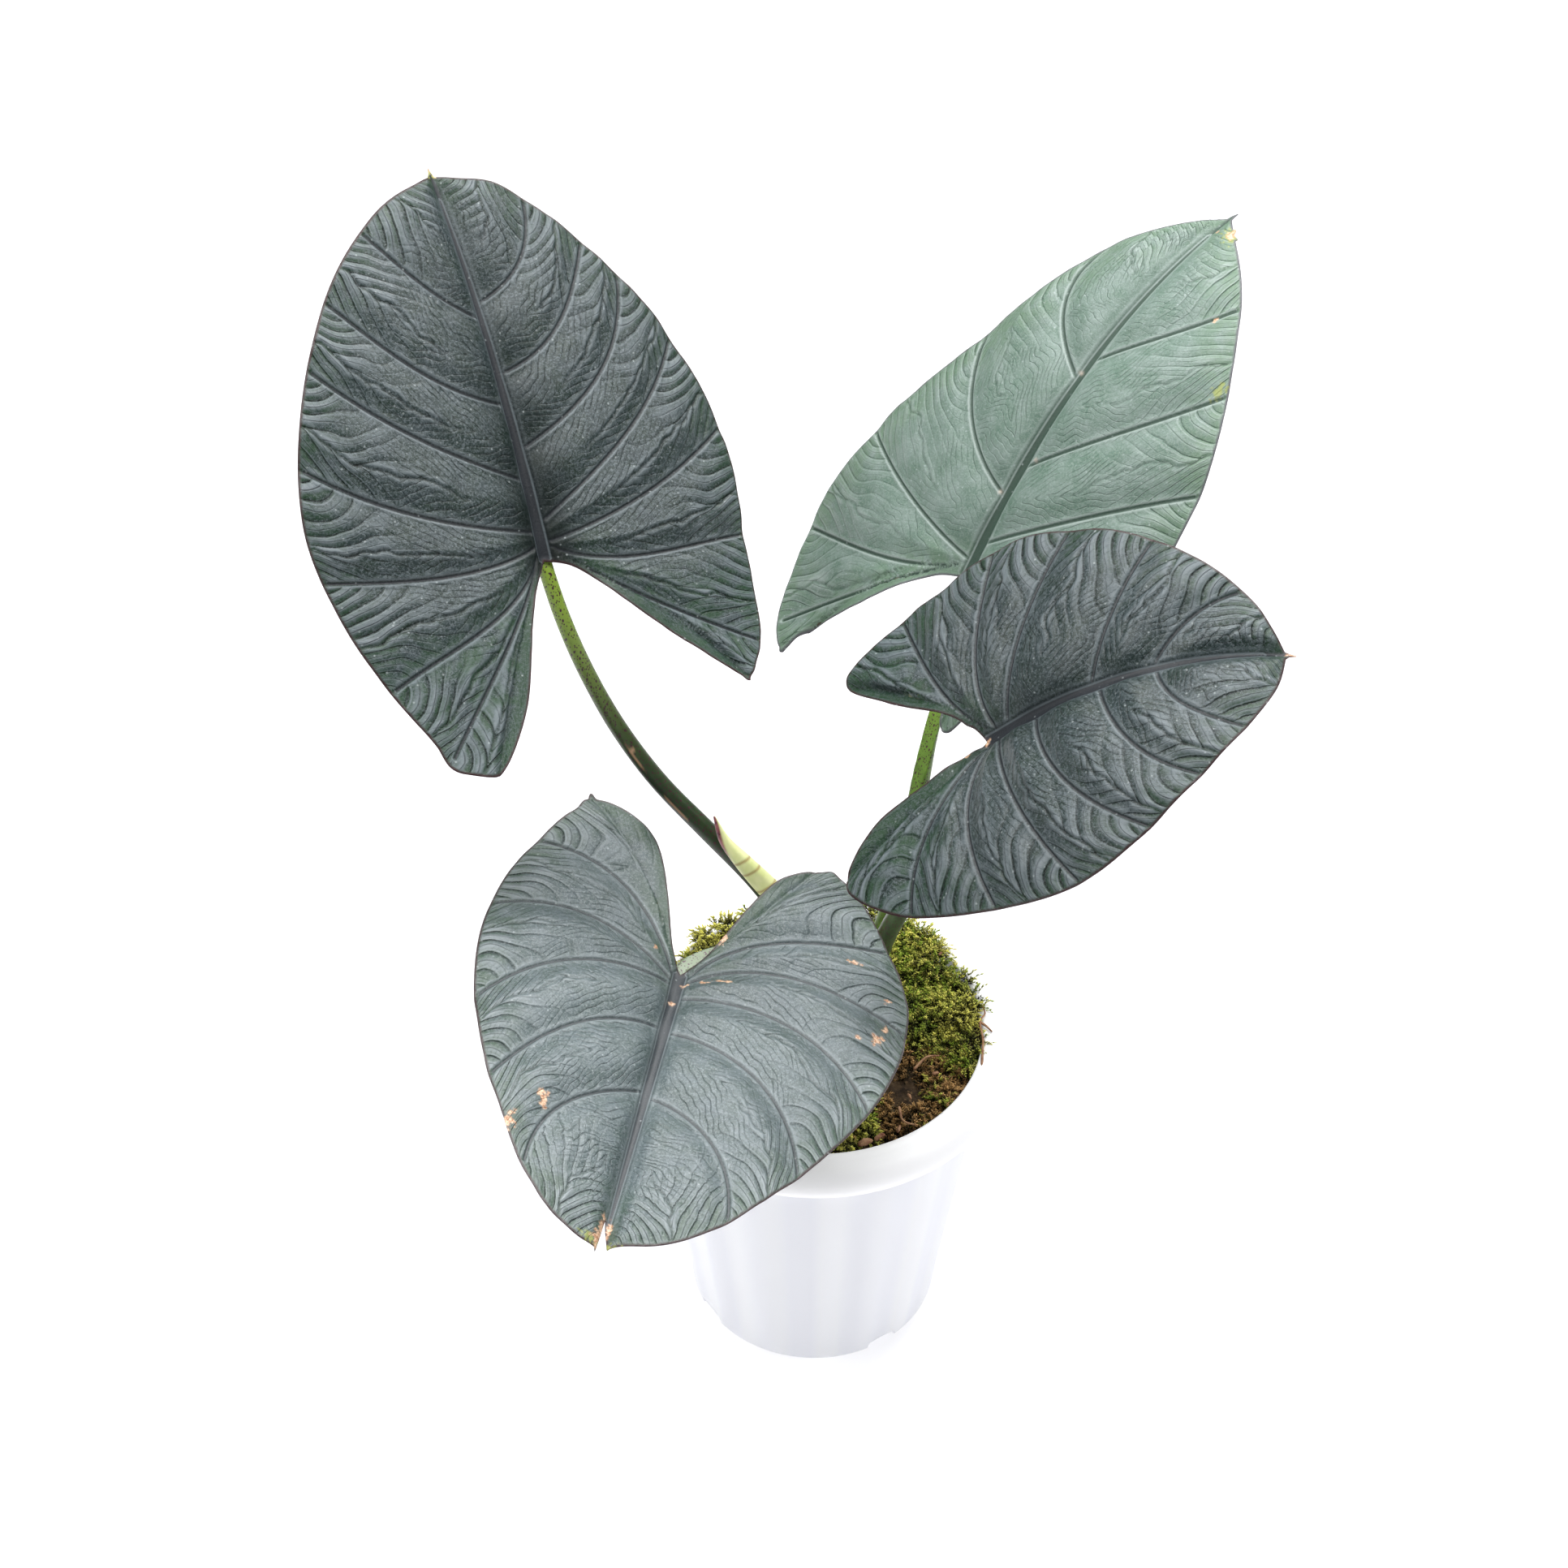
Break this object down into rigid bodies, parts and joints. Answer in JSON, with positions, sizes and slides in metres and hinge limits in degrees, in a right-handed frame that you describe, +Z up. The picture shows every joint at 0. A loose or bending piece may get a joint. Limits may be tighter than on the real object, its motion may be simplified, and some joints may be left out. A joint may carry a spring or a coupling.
{
  "type": "potted foliage plant",
  "caption": "Potted aroid with heart-shaped quilted dark blades on arching stalks, a rolled new-leaf sheath, mossy potting mix and a fluted plastic pot.",
  "frame": {"origin": "on the surface the pot stands on, below the middle of the whole plant's spread; the pot's axis is 10 mm towards +X and 5.75 mm towards +Y from it", "axes": "+Z up along the pot's axis; -Y towards the viewer of the picture, with the lowest blade reaching out over the rim on that side; +X to the viewer's right"},
  "size_m": [0.3204, 0.3124, 0.4284],
  "materials": {
    "pot_plastic": "glossy white, faintly fluted",
    "potting_mix": "dark crumbly bark and peat",
    "moss": "feathery yellow-green tufts, brown where dry",
    "stem_skin": "dull brown with ring scars",
    "blade_dark": "satin blackish green with a grey sheen, quilted",
    "blade_grey": "satin grey-green, quilted",
    "blade_pale": "satin pale sage green, quilted",
    "stalk_skin": "smooth green with dark purple specks",
    "sheath_skin": "pale yellow-green with thin brown rings and a dry purple tip"
  },
  "bodies": {
    "root": {"pot": "pot_plastic", "soil": "potting_mix", "short_stem": "stem_skin", "moss_right": "moss", "moss_back_left": "moss", "moss_front": "moss", "leaf_1_blade": "blade_dark", "leaf_1_stalk": "stalk_skin", "leaf_2_blade": "blade_pale", "leaf_2_stalk": "stalk_skin", "leaf_3_blade": "blade_dark", "leaf_3_stalk": "stalk_skin", "leaf_4_blade": "blade_grey", "leaf_4_stalk": "stalk_skin", "new_leaf_sheath": "sheath_skin"}
  },
  "joints": []
}
